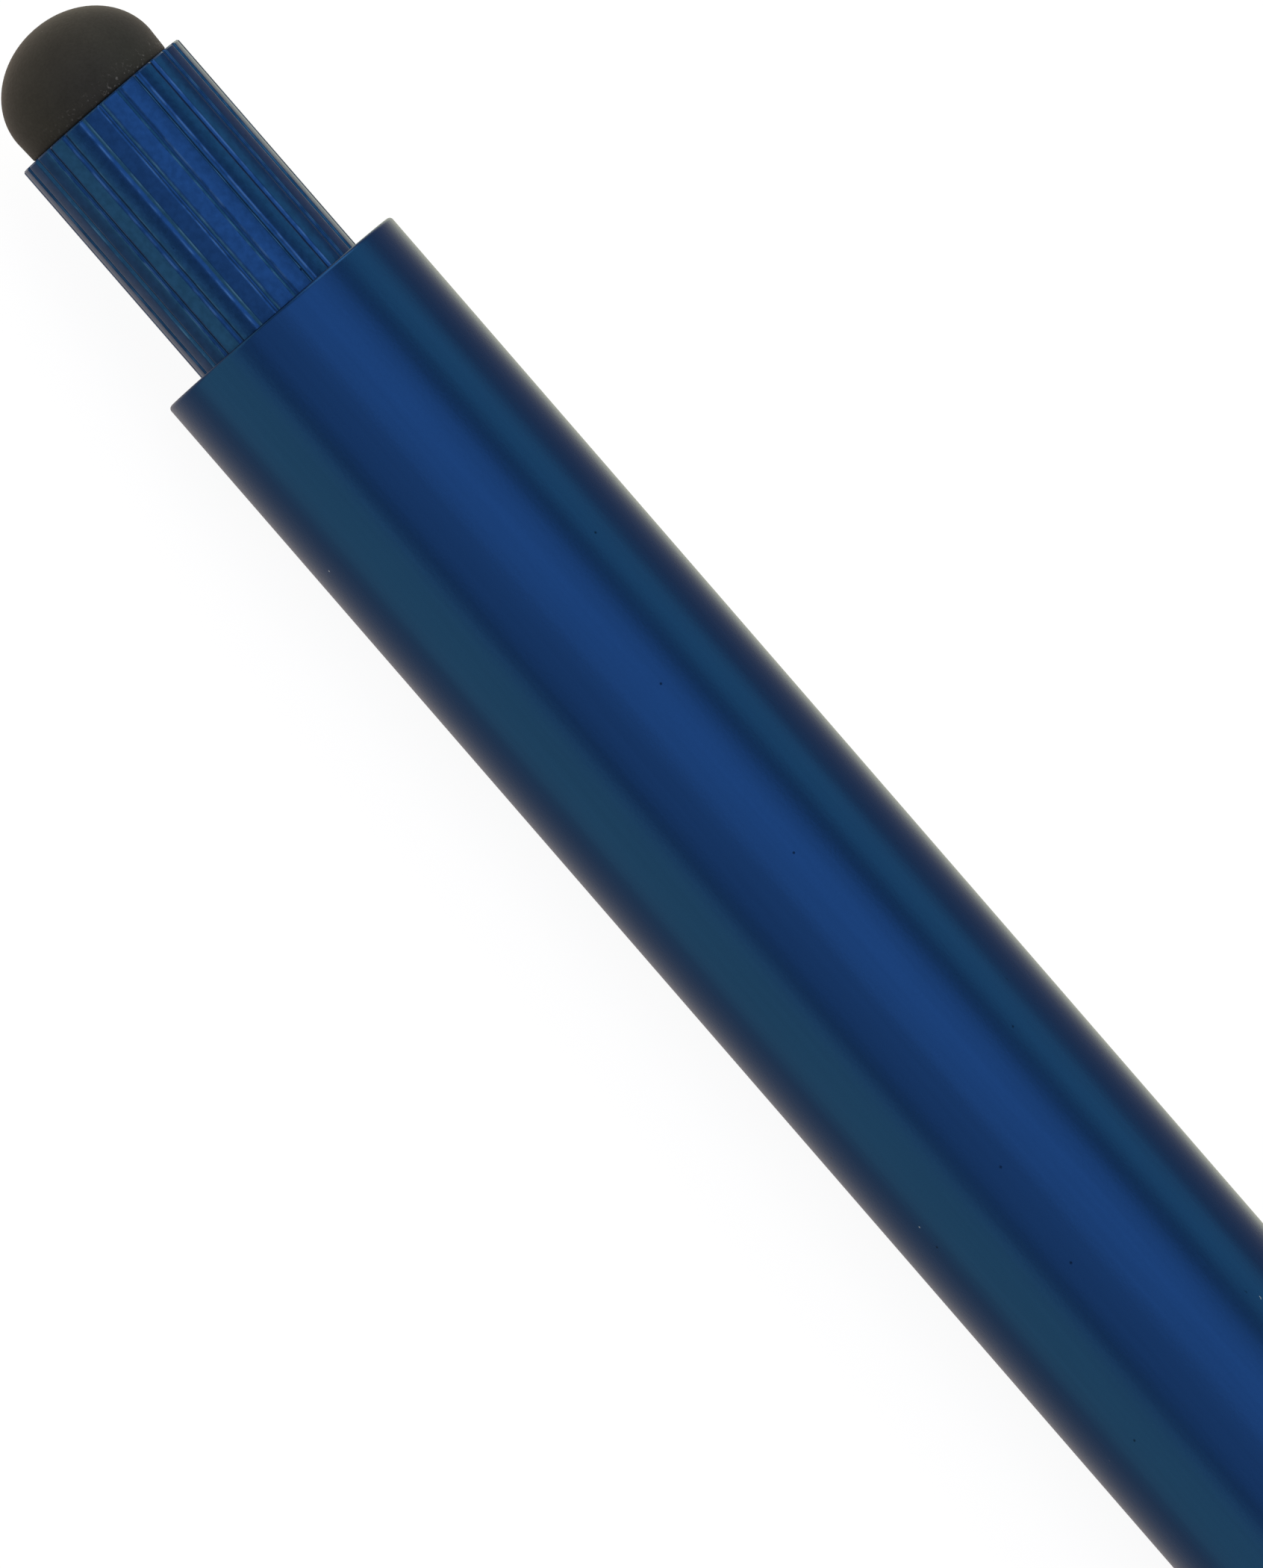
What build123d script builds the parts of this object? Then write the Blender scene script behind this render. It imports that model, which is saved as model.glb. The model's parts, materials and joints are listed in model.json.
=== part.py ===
from build123d import *
import os
from math import acos, atan2, degrees, hypot, isclose, pi, sin, sqrt

# Push-button ballpoint pen with a rubber stylus dome on its plunger. Lengths are in millimetres.
# Each piece is drawn about the pen's own axis. A station is a distance forward of the barrel's rear
# face, so what stands out behind the barrel has negative stations. The clip is on the local +X side.
# The last section lays the pen on a table, writing end towards +X, as it rests on barrel and clip.

# Barrel
barrel_diameter = 10.5
barrel_wall = 0.6
barrel_length = 104.0
barrel_end_wall = 1.0
barrel_edge_radius = 0.15
barrel_hole_chamfer = 0.1

# Plunger
plunger_diameter = 7.32
plunger_exposed = 9.77
plunger_clearance = 0.08
plunger_rim_wall = 0.79
plunger_rim_chamfer = 0.06
plunger_web = 1.2
flange_share = 0.5
flange_thickness = 1.0
flange_gap = 0.05
flute_count = 26
flute_width = 0.3
flute_depth = 0.068

# Stylus dome and its plug
dome_radius = 3.14
dome_height = 2.69
dome_stand = 0.93
dome_skirt_radius = 3.1
dome_wall = 0.8
dome_rim_gap = 0.03
dome_socket_depth = 4.0
dome_bead_height = 0.45
dome_bead_length = 1.0
dome_fit = 0.02
bead_gap = 0.05
plug_base = 1.0
plug_head_length = 1.3
plug_head_chamfer = 0.4

# Click mechanism
latch_travel = 4.5
latch_rise = 1.1
overtravel = 0.4
sleeve_stop_gap = 0.55
sleeve_fit = 0.05
sleeve_margin = 0.9
cam_share = 0.598
cam_clearance = 0.15
key_count = 4
key_width = 1.1
key_length = 2.0
key_gap = 0.2
channel_share = 0.787
channel_clearance = 0.12
crown_teeth = 8
crown_depth = 1.0
crown_gap = 0.15
crown_bore_radius = 1.6
crown_bore_depth = 6.0
pilot_clearance = 0.2
pilot_length = 3.0
stem_step = 0.45
press_fit = 0.02
fin_length = 2.5
rotor_step = 0.35
rotor_stem_length = 4.1
refill_socket_depth = 3.5

# Clip
clip_thickness = 0.8
clip_width = 5.0
clip_tip_width = 3.6
clip_gap = 1.3
clip_reach = 40.0
clip_ramp_length = 6.0
clip_tip_length = 2.4
clip_tip_rise = 0.9
clip_touch_gap = 0.05
clip_bend_radius = 0.9
clip_ramp_radius = 6.0
clip_touch_radius = 2.0
clip_seat_gap = 0.06
clip_foot_width = 2.4
clip_lip_length = 1.2
clip_clearance = 0.2
clip_pocket_wall = 0.7

# Nose cone and its thread bush
nose_length = 23.0
nose_land = 8.0
nose_tip_radius = 1.75
nose_tip_rounding = 0.2
nose_joint_radius = 0.35
nose_guide_length = 6.2
nose_bore_clearance = 0.35
spigot_length = 6.8
thread_fit = 0.05
bush_wall = 1.03
bush_length = 7.5
bush_recess = 0.3

# Refill and return spring
tube_radius = 1.6
tube_wall = 0.5
refill_fit = 0.1
refill_seat_gap = 0.05
collar_length = 1.0
tip_radius = 1.15
tip_length = 12.0
tip_cone_length = 3.0
tip_lip = 0.11
tip_stem_length = 4.0
tip_channel_radius = 0.35
tip_guide_clearance = 0.1
ball_radius = 0.5
ball_clearance = 0.03
ball_showing = 0.3
ball_recess = 1.7
ink_fit = 0.02
ink_air_length = 14.0
follower_length = 3.0
spring_wire = 0.35
spring_turns = 9
spring_length = 16.8
spring_clearance = 0.2
spring_seat_gap = 0.02

# One overrun serves all cuts, and one tolerance finds an edge by its place
overrun = 1.0
edge_tolerance = 0.001

# Radii that follow from the sizes above
barrel_radius = barrel_diameter / 2
barrel_inner = barrel_radius - barrel_wall
plunger_radius = plunger_diameter / 2
plunger_hole = plunger_radius + plunger_clearance
flange_radius = plunger_hole + flange_share * (barrel_inner - plunger_hole)
dome_socket_radius = plunger_radius - plunger_rim_wall
dome_neck_radius = dome_socket_radius - dome_fit
sleeve_radius = barrel_inner - sleeve_fit
cam_radius = cam_share * sleeve_radius
guide_radius = cam_radius + cam_clearance
stem_radius = cam_radius - stem_step
rotor_stem_radius = cam_radius - rotor_step
channel_radius = channel_share * sleeve_radius
key_radius = channel_radius - channel_clearance
channel_width = key_width + 2 * channel_clearance
spring_radius = tube_radius + spring_clearance + spring_wire / 2
collar_radius = spring_radius + spring_wire / 2
nose_bore = collar_radius + nose_bore_clearance
bush_radius = barrel_inner - press_fit
spigot_radius = bush_radius - bush_wall - thread_fit
nose_guide = tip_radius + tip_guide_clearance
tube_inner = tube_radius - tube_wall
tip_end_radius = ball_radius + ball_clearance + tip_lip

# Stations that follow, from the dome to the nose
rim_station = -plunger_exposed
dome_widest = rim_station - dome_stand
socket_floor = rim_station + dome_socket_depth
plug_shelf = socket_floor - plug_base
bead_front = plug_shelf - bead_gap
bead_rear = bead_front - dome_bead_length
plug_head_front = bead_rear - bead_gap
stem_floor = socket_floor + plunger_web
flange_rear = barrel_end_wall + flange_gap
flange_front = flange_rear + flange_thickness
stroke = latch_travel + latch_rise + overtravel
sleeve_rear = flange_front + stroke + sleeve_stop_gap
pocket_rear = sleeve_rear + clip_pocket_wall
foot_station = pocket_rear + clip_clearance + clip_lip_length + clip_thickness / 2
pocket_front = foot_station + clip_thickness / 2 + clip_clearance
ribs_rear = pocket_front + clip_pocket_wall
key_rear = ribs_rear + key_gap
crown_root = key_rear + key_length
crown_tip = crown_root + crown_depth
fin_rear = crown_tip + crown_gap
fin_front = fin_rear + fin_length
rib_latch = fin_rear + latch_travel
rib_peak = rib_latch + latch_rise
sleeve_front = fin_front + stroke + sleeve_margin
rotor_front = fin_front + rotor_stem_length
refill_floor = rotor_front - refill_socket_depth
refill_rear = refill_floor + refill_seat_gap
nose_tip = barrel_length + nose_length
land_front = barrel_length + nose_land
spring_front = nose_tip - nose_guide_length
spring_rear = spring_front - spring_length
ball_front = nose_tip - ball_recess
ball_centre = ball_front - ball_radius
tip_front = ball_front - ball_showing
cone_rear = tip_front - tip_cone_length
tube_front = ball_front - tip_length
stem_end = tube_front - tip_stem_length
follower_rear = refill_rear + ink_air_length
ink_rear = follower_rear + follower_length


def turned(*points):
    """A solid of revolution about the pen's axis, from its (radius, station) outline."""
    return revolve(Plane.XZ * make_face(Polyline(*points, close=True)), Axis.Z)


def tube(outer, inner, rear, front):
    """A plain tube, or a rod where the inner radius is zero."""
    return turned((inner, rear), (outer, rear), (outer, front), (inner, front))


def ring_edges(solid, radius, station):
    """The circular edges of a solid at one radius and station."""
    rings = solid.edges().filter_by(GeomType.CIRCLE)
    near = [edge for edge in rings if isclose(edge.radius, radius, abs_tol=edge_tolerance)]
    return [edge for edge in near if isclose(edge.arc_center.Z, station, abs_tol=edge_tolerance)]


def radial_bar(reach, width, rear, front):
    """A straight bar from the axis out to +X, such as a key or the cut of a channel."""
    bar = Box(reach, width, front - rear, align=(Align.MIN, Align.CENTER, Align.MIN))
    return Pos(0, 0, rear) * bar


def radial_prism(outline, reach):
    """A prism from the axis out to +X, from its (sideways, station) outline."""
    across = Plane(origin=(0, 0, 0), x_dir=(0, 1, 0), z_dir=(1, 0, 0))
    return extrude(across * make_face(Polyline(*outline, close=True)), reach)


def around(piece, count, first_turn=0):
    """Copies of a piece at even turns about the pen's axis."""
    return [Rot(0, 0, first_turn + 360 * index / count) * piece for index in range(count)]


def make_barrel():
    shell = turned(
        (plunger_hole, 0),
        (barrel_radius, 0),
        (barrel_radius, barrel_length),
        (barrel_inner, barrel_length),
        (barrel_inner, barrel_end_wall),
        (plunger_hole, barrel_end_wall),
    )
    shell = fillet(ring_edges(shell, barrel_radius, 0), barrel_edge_radius)
    shell = fillet(ring_edges(shell, barrel_radius, barrel_length), nose_joint_radius)
    shell = chamfer(ring_edges(shell, plunger_hole, 0), barrel_hole_chamfer)
    slot_rear = foot_station - clip_thickness / 2 - clip_clearance
    slot = radial_bar(barrel_diameter, clip_foot_width + 2 * clip_clearance, slot_rear, pocket_front)
    return shell - slot


def make_plunger():
    body = turned(
        (0, socket_floor),
        (dome_socket_radius, socket_floor),
        (dome_socket_radius, rim_station),
        (plunger_radius - plunger_rim_chamfer, rim_station),
        (plunger_radius, rim_station + plunger_rim_chamfer),
        (plunger_radius, flange_rear),
        (flange_radius, flange_rear),
        (flange_radius, flange_front),
        (stem_radius + press_fit, flange_front),
        (stem_radius + press_fit, stem_floor),
        (0, stem_floor),
    )
    groove_length = flange_rear - rim_station + overrun
    groove_radius = flute_depth / 2 + flute_width ** 2 / (8 * flute_depth)
    groove = Cylinder(groove_radius, groove_length, align=(Align.CENTER, Align.CENTER, Align.MIN))
    groove = Pos(plunger_radius - flute_depth + groove_radius, 0, rim_station - overrun) * groove
    return body - around(groove, flute_count, 180 / flute_count)


def dome_on_neck(radius, height, *neck):
    """A solid half-ellipsoid dome on a turned neck, from the neck's (radius, station) outline."""
    curve = EllipticalCenterArc((0, dome_widest), radius, height, 270, arc_size=90)
    rest = Polyline((radius, dome_widest), *neck, (0, dome_widest - height))
    return revolve(Plane.XZ * make_face([curve, rest]), Axis.Z)


def make_stylus_tip():
    neck_inner = dome_neck_radius - dome_wall
    bead_inner = neck_inner - dome_bead_height
    rim_face = rim_station - dome_rim_gap
    rubber = dome_on_neck(
        dome_radius,
        dome_height,
        (dome_skirt_radius, rim_face),
        (dome_neck_radius, rim_face),
        (dome_neck_radius, bead_front),
        (0, bead_front),
    )
    hollow = dome_on_neck(
        dome_radius - dome_wall,
        dome_height - dome_wall,
        (neck_inner, rim_face),
        (neck_inner, bead_rear),
        (bead_inner, bead_rear),
        (bead_inner, bead_front + overrun),
        (0, bead_front + overrun),
    )
    return rubber - hollow


def make_stylus_plug():
    head_radius = dome_neck_radius - dome_wall - dome_fit
    head_rear = plug_head_front - plug_head_length
    groove_radius = head_radius - dome_bead_height
    return turned(
        (0, socket_floor),
        (dome_neck_radius, socket_floor),
        (dome_neck_radius, plug_shelf),
        (groove_radius, plug_shelf),
        (groove_radius, plug_head_front),
        (head_radius, plug_head_front),
        (head_radius, head_rear + plug_head_chamfer),
        (head_radius - plug_head_chamfer, head_rear),
        (0, head_rear),
    )


def tooth_notch(apex, mouth):
    """One V-shaped notch of a crown of teeth, from its apex to past its mouth."""
    half_width = cam_radius * sin(pi / crown_teeth)
    past = mouth + overrun if mouth > apex else mouth - overrun
    outline = [(0, apex), (half_width, mouth), (half_width, past), (-half_width, past), (-half_width, mouth)]
    return radial_prism(outline, cam_radius + overrun)


def make_thrust_cam():
    body = turned(
        (0, stem_floor + press_fit),
        (stem_radius, stem_floor + press_fit),
        (stem_radius, flange_front),
        (cam_radius, flange_front),
        (cam_radius, crown_tip),
        (crown_bore_radius, crown_tip),
        (crown_bore_radius, crown_tip - crown_bore_depth),
        (0, crown_tip - crown_bore_depth),
    )
    body -= around(tooth_notch(crown_root, crown_tip), crown_teeth)
    keys = around(radial_bar(key_radius, key_width, key_rear, crown_root), key_count)
    ring = tube(key_radius, (crown_bore_radius + cam_radius) / 2, key_rear, crown_root)
    return body + [key & ring for key in keys]


def make_rotor_cam():
    rear = crown_root + crown_gap
    body = tube(cam_radius, 0, rear, fin_front)
    body -= around(tooth_notch(crown_tip + crown_gap, rear), crown_teeth, 180 / crown_teeth)
    pilot_radius = crown_bore_radius - pilot_clearance
    body += tube(pilot_radius, 0, rear - pilot_length, fin_front)
    body += tube(rotor_stem_radius, 0, fin_front, rotor_front)
    slope_rise = latch_rise * key_width / (channel_radius * sin(pi / key_count))
    fin = radial_prism(
        [
            (-key_width / 2, fin_rear + slope_rise),
            (key_width / 2, fin_rear),
            (key_width / 2, fin_front),
            (-key_width / 2, fin_front),
        ],
        key_radius + overrun,
    )
    ring = tube(key_radius, pilot_radius, fin_rear, fin_front)
    body += [copy & ring for copy in around(fin, key_count)]
    return body - tube(tube_radius + refill_fit, 0, refill_floor, rotor_front + overrun)


def make_cam_sleeve():
    shell = turned(
        (guide_radius, sleeve_rear),
        (sleeve_radius, sleeve_rear),
        (sleeve_radius, sleeve_front),
        (channel_radius, sleeve_front),
        (channel_radius, rib_peak),
        (guide_radius, rib_peak),
    )
    channel = radial_bar(channel_radius, channel_width, ribs_rear, rib_peak + overrun)
    shell -= around(channel, key_count)
    half_rib = channel_radius * sin(pi / key_count)
    saw_cut = radial_prism(
        [
            (-half_rib, rib_peak),
            (0, rib_latch),
            (0, rib_peak),
            (half_rib, rib_latch),
            (half_rib, rib_peak + overrun),
            (-half_rib, rib_peak + overrun),
        ],
        channel_radius + overrun,
    )
    within = tube(channel_radius, 0, rib_latch - overrun, rib_peak + overrun)
    shell -= [cut & within for cut in around(saw_cut, key_count, 180 / key_count)]
    pocket_floor = clip_lip_top() - clip_thickness - clip_clearance
    pocket = radial_bar(barrel_radius, clip_foot_width + 2 * clip_clearance, pocket_rear, pocket_front)
    return shell - (Pos(pocket_floor, 0, 0) * pocket)


def clip_lip_top():
    """Height of the clip's inner lip above the axis, clear of the curved wall over it."""
    return sqrt(barrel_inner ** 2 - (clip_foot_width / 2) ** 2) - clip_clearance


def make_clip():
    arm_height = barrel_radius + clip_gap + clip_thickness / 2
    touch_height = barrel_radius + clip_touch_gap + clip_thickness / 2
    touch_station = foot_station + clip_reach
    tip_station = touch_station + clip_tip_length
    path = FilletPolyline(
        (barrel_inner, 0, foot_station),
        (arm_height, 0, foot_station),
        (arm_height, 0, touch_station - clip_ramp_length),
        (touch_height, 0, touch_station),
        (touch_height + clip_tip_rise, 0, tip_station),
        radius=[clip_bend_radius, clip_ramp_radius, clip_touch_radius],
    )
    start = Plane(origin=(barrel_inner, 0, foot_station), x_dir=(0, 1, 0), z_dir=(1, 0, 0))
    strip = sweep(start * Rectangle(clip_width, clip_thickness), path)
    strip -= tube(barrel_radius + clip_seat_gap, 0, 0, foot_station + clip_reach / 2)
    rear = foot_station - clip_thickness
    tip_middle = tip_station - clip_tip_width / 2
    outline = make_face(
        Polyline(
            (rear, -clip_width / 2),
            (tip_middle, -clip_tip_width / 2),
            (tip_middle, clip_tip_width / 2),
            (rear, clip_width / 2),
            close=True,
        )
    )
    outline += Pos(tip_middle, 0) * Circle(clip_tip_width / 2)
    from_above = Plane(origin=(0, 0, 0), x_dir=(0, 0, 1), z_dir=(1, 0, 0))
    strip &= extrude(from_above * outline, barrel_diameter)
    lip_top = clip_lip_top()
    foot_rear = foot_station - clip_thickness / 2
    foot_height = arm_height - lip_top + clip_thickness
    foot = radial_bar(foot_height, clip_foot_width, foot_rear, foot_rear + clip_thickness)
    lip = radial_bar(clip_thickness, clip_foot_width, foot_rear - clip_lip_length, foot_rear)
    return strip + (Pos(lip_top - clip_thickness, 0, 0) * (foot + lip))


def make_front_bush():
    bush_front = barrel_length - bush_recess
    return tube(bush_radius, bush_radius - bush_wall, bush_front - bush_length, bush_front)


def make_nose_cone():
    spigot_rear = barrel_length - spigot_length
    outline = [
        Polyline(
            (nose_tip_radius, nose_tip),
            (nose_guide, nose_tip),
            (nose_guide, spring_front),
            (nose_bore, spring_front),
            (nose_bore, spigot_rear),
            (spigot_radius, spigot_rear),
            (spigot_radius, barrel_length),
            (barrel_radius, barrel_length),
            (barrel_radius, land_front),
        ),
        TangentArc((barrel_radius, land_front), (nose_tip_radius, nose_tip), tangent=(0, 1)),
    ]
    cone = revolve(Plane.XZ * make_face(outline), Axis.Z)
    cone = fillet(ring_edges(cone, barrel_radius, barrel_length), nose_joint_radius)
    return fillet(ring_edges(cone, nose_tip_radius, nose_tip), nose_tip_rounding)


def make_return_spring():
    rear = spring_rear + spring_seat_gap + spring_wire / 2
    height = spring_length - 2 * spring_seat_gap - spring_wire
    coil = Helix(pitch=height / spring_turns, height=height, radius=spring_radius)
    section = Plane(origin=coil @ 0, z_dir=coil % 0) * Circle(spring_wire / 2)
    return Pos(0, 0, rear) * sweep(section, coil, is_frenet=True)


def make_refill_tube():
    body = tube(tube_radius, tube_inner, refill_rear, tube_front)
    return body + tube(collar_radius, tube_inner, spring_rear - collar_length, spring_rear)


def make_refill_tip():
    body = turned(
        (tip_channel_radius, stem_end),
        (tube_inner - ink_fit, stem_end),
        (tube_inner - ink_fit, tube_front),
        (tip_radius, tube_front),
        (tip_radius, cone_rear),
        (tip_end_radius, tip_front),
        (tip_channel_radius, tip_front),
    )
    return body - Pos(0, 0, ball_centre) * Sphere(ball_radius + ball_clearance)


def make_writing_ball():
    return Pos(0, 0, ball_centre) * Sphere(ball_radius)


def make_ink_column():
    return tube(tube_inner - ink_fit, 0, ink_rear, stem_end)


def make_ink_follower():
    return tube(tube_inner - ink_fit, 0, follower_rear, ink_rear)


pieces = {
    "stylus_tip": make_stylus_tip(),
    "stylus_plug": make_stylus_plug(),
    "plunger": make_plunger(),
    "thrust_cam": make_thrust_cam(),
    "rotor_cam": make_rotor_cam(),
    "cam_sleeve": make_cam_sleeve(),
    "barrel": make_barrel(),
    "clip": make_clip(),
    "front_bush": make_front_bush(),
    "nose_cone": make_nose_cone(),
    "return_spring": make_return_spring(),
    "refill_tube": make_refill_tube(),
    "refill_tip": make_refill_tip(),
    "writing_ball": make_writing_ball(),
    "ink_column": make_ink_column(),
    "ink_follower": make_ink_follower(),
}

# The pen lies on its barrel and on the clip's outer edge. The clip turns up from straight below the
# axis until both are on the table. The origin is under the middle of the whole pen.
clip_top = barrel_radius + clip_gap + clip_thickness
clip_edge_reach = hypot(clip_top, clip_width / 2)
rest_roll = degrees(acos(barrel_radius / clip_edge_reach) + atan2(clip_width / 2, clip_top))
lying = Rot(rest_roll, 0, 0) * Rot(0, 90, 0)
laid = {name: lying * piece for name, piece in pieces.items()}
clip_box = laid["clip"].bounding_box()
middle_station = (nose_tip + dome_widest - dome_height) / 2
middle_side = (clip_box.max.Y - barrel_radius) / 2
to_table = Pos(-middle_station, -middle_side, barrel_radius)

os.makedirs("parts", exist_ok=True)
for name, piece in laid.items():
    export_step(to_table * piece, f"parts/{name}.step")
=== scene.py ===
import json
from math import atan2, cos, pi, radians, sin, sqrt, tan

import bmesh
import bpy
from mathutils import Matrix, Vector


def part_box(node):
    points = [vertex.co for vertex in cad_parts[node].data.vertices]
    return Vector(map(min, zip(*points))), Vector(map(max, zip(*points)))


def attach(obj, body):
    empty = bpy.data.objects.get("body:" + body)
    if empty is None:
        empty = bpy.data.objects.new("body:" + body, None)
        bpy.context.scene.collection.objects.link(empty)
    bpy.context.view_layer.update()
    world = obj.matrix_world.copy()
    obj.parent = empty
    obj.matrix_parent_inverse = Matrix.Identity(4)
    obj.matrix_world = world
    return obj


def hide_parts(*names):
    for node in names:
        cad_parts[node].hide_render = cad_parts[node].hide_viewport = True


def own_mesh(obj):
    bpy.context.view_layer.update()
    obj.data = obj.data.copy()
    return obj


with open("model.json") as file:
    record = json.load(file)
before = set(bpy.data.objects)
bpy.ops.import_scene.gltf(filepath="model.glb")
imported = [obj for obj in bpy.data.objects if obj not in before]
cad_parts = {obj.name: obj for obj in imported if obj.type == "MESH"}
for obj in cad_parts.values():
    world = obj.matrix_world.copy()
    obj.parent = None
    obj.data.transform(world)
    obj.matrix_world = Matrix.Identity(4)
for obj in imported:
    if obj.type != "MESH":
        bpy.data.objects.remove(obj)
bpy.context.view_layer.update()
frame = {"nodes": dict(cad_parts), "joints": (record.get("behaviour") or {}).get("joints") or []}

# A push-button stylus pen that lies on a pale floor. Lengths are in millimetres, as on the maker's
# drawing. A station is a distance forward of the barrel's rear face. Each piece is shaped about the
# pen's own axis with the clip straight up, and is then rolled and laid where the frame says.

MM = 0.001
barrel_low, barrel_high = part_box("barrel")
REAR_FACE = barrel_low.x
AXIS = Vector((0, (barrel_low.y + barrel_high.y) / 2, (barrel_low.z + barrel_high.z) / 2))
PEN_REAR = Vector((REAR_FACE, AXIS.y, AXIS.z))
clip_hinge = next(joint["axis"] for joint in frame["joints"] if joint["name"] == "clip_flex")
ROLL = atan2(clip_hinge[2], clip_hinge[1])

# Turned pieces. A support ring keeps the shading even beside a rounded edge, at a number of its
# roundings, or beside a cut or a curve, at a gap.
LATHE_SIDES = 192
RING_TOLERANCE = 0.002
WELD_DISTANCE = 0.0005
SUPPORT_ROUNDINGS = 1.3
SUPPORT_GAP = 0.5

# Barrel
BARREL_RADIUS = 5.25
BARREL_BORE = 4.65
BARREL_LENGTH = 104.0
END_WALL = 1.0
BARREL_CORNER = 0.15
BUTTON_HOLE = 3.74
HOLE_CHAMFER = 0.1
JOINT_ROUNDING = 0.35
SLOT_REAR = 10.5
SLOT_FRONT = 11.7
SLOT_WIDTH = 2.8

# Push button
BUTTON_RADIUS = 3.66
BUTTON_RIM = -9.77
RIM_CHAMFER = 0.06
FLUTES = 26
FLUTE_POINTS = 24
FLUTE_WIDTH = 0.3
FLUTE_DEPTH = 0.068
FLANGE_RADIUS = 4.195
FLANGE_REAR = 1.05
FLANGE_FRONT = 2.05
STEM_BORE = 2.3208
STEM_FLOOR = -4.57
SOCKET_RADIUS = 2.87
SOCKET_FLOOR = -5.77

# Stylus dome
DOME_RADIUS = 3.14
DOME_HEIGHT = 2.69
DOME_WIDEST = -10.7
DOME_ANGLES = range(6, 91, 4)
DOME_FOOT = -9.8
DOME_FOOT_LAND = 0.12
DOME_FOOT_ROUNDING = 0.07
DOME_SKIRT = 3.1
DOME_SKIRT_DRAFT = 0.004
DOME_NECK = 2.85
DOME_WALL = 0.8
BEAD_REAR = -7.82
BEAD_FRONT = -6.82
BEAD_RADIUS = 1.6

# Nose cone
NOSE_TIP = 127.0
NOSE_TIP_RADIUS = 1.75
NOSE_TIP_ROUNDING = 0.2
NOSE_LAND_FRONT = 112.0
NOSE_STEPS = 24
NOSE_GUIDE = 1.25
NOSE_SHOULDER = 120.8
NOSE_BORE = 2.5
SPIGOT_REAR = 97.2
SPIGOT_RADIUS = 3.55

# Return spring
SPRING_WIRE = 0.35
SPRING_RADIUS = 1.975
SPRING_TURNS = 9
SPRING_LENGTH = 16.8
SPRING_SEAT_GAP = 0.02
SPRING_SIDES = 16
SPRING_STEPS = 48

# Clip
CLIP_THICKNESS = 0.8
CLIP_WIDTH = 5.0
CLIP_FOOT_STATION = 11.1
CLIP_FOOT_WIDTH = 2.4
CLIP_FOOT_TOP = 5.95
CLIP_LIP_LENGTH = 1.2
CLIP_LIP_TOP = 4.2925
CLIP_ARM_HEIGHT = 6.95
CLIP_BEND = 0.9
CLIP_RAMP_STATION = 45.1
CLIP_RAMP_BEND = 6.0
CLIP_TOUCH_STATION = 51.1
CLIP_TOUCH_HEIGHT = 5.7
CLIP_TOUCH_BEND = 2.0
CLIP_TIP_STATION = 53.5
CLIP_TIP_HEIGHT = 6.6
CLIP_TIP_RADIUS = 1.8
CLIP_TIP_MIDDLE = CLIP_TIP_STATION - CLIP_TIP_RADIUS
CLIP_TIP_ANGLES = range(8, 88, 6)
CLIP_SADDLE = 5.31
CLIP_SADDLE_LENGTH = 30
CLIP_EDGE = 0.12
CLIP_SHARP_ANGLE = 50
CLIP_SECTION_TOLERANCE = 0.0006


def clear_selection():
    if bpy.context.mode != "OBJECT":
        bpy.ops.object.mode_set(mode="OBJECT")
    bpy.ops.object.select_all(action="DESELECT")


def edit_all():
    """Opens the active piece for editing with all of it selected."""
    bpy.ops.object.mode_set(mode="EDIT")
    bpy.ops.mesh.select_all(action="SELECT")


def name_new(name):
    """Names the piece that was just added, opens it for editing and returns it."""
    piece = bpy.context.object
    piece.name = piece.data.name = name
    edit_all()
    return piece


def pick(piece, kind, wanted):
    """Selects the corners or edges of a piece in edit mode that meet a test."""
    bpy.ops.mesh.select_mode(type=kind)
    bpy.ops.mesh.select_all(action="DESELECT")
    mesh = bmesh.from_edit_mesh(piece.data)
    for item in {"VERT": mesh.verts, "EDGE": mesh.edges}[kind]:
        if wanted(item):
            item.select_set(True)
    bmesh.update_edit_mesh(piece.data)


def on_ring(corner, station, radius):
    reach = RING_TOLERANCE * MM
    return abs(corner.co.x - station * MM) < reach and abs(corner.co.yz.length - radius * MM) < reach


def pick_ring(piece, *rings):
    pick(piece, "EDGE", lambda edge: any(
        all(on_ring(corner, station, radius) for corner in edge.verts) for station, radius in rings))


def start_ring(name, station, radius, sides=LATHE_SIDES, fill="NOTHING"):
    """The first ring of a turned piece, left in edit mode with all of it selected."""
    clear_selection()
    bpy.ops.mesh.primitive_circle_add(vertices=sides, radius=radius * MM, fill_type=fill)
    piece = name_new(name)
    bpy.ops.transform.rotate(value=pi / 2, orient_axis="Y", center_override=(0, 0, 0))
    bpy.ops.transform.translate(value=(station * MM, 0, 0))
    return piece


def run_on(along, up=0):
    """Extrudes what is selected along the pen, and up or down."""
    bpy.ops.mesh.extrude_region_move(TRANSFORM_OT_translate={"value": (along * MM, 0, up * MM)})


def draw_on(at, *outline):
    """Extrudes the selected ring from one (station, radius) to the next and returns the last one."""
    for station, radius in outline:
        run_on(station - at[0])
        if radius == 0:
            bpy.ops.mesh.merge(type="CENTER")
        else:
            grow = radius / at[1]
            bpy.ops.transform.resize(value=(1, grow, grow), center_override=(station * MM, 0, 0))
        at = (station, radius)
    return at


def join_rings(piece, *rings):
    pick_ring(piece, *rings)
    bpy.ops.mesh.bridge_edge_loops()


def ease(width, segments):
    """Rounds the selected edges, or chamfers them."""
    bpy.ops.mesh.bevel(offset=width * MM, segments=segments, profile=0.5, affect="EDGES")


def round_ring(piece, station, radius, width, segments):
    pick_ring(piece, (station, radius))
    ease(width, segments)


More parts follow.
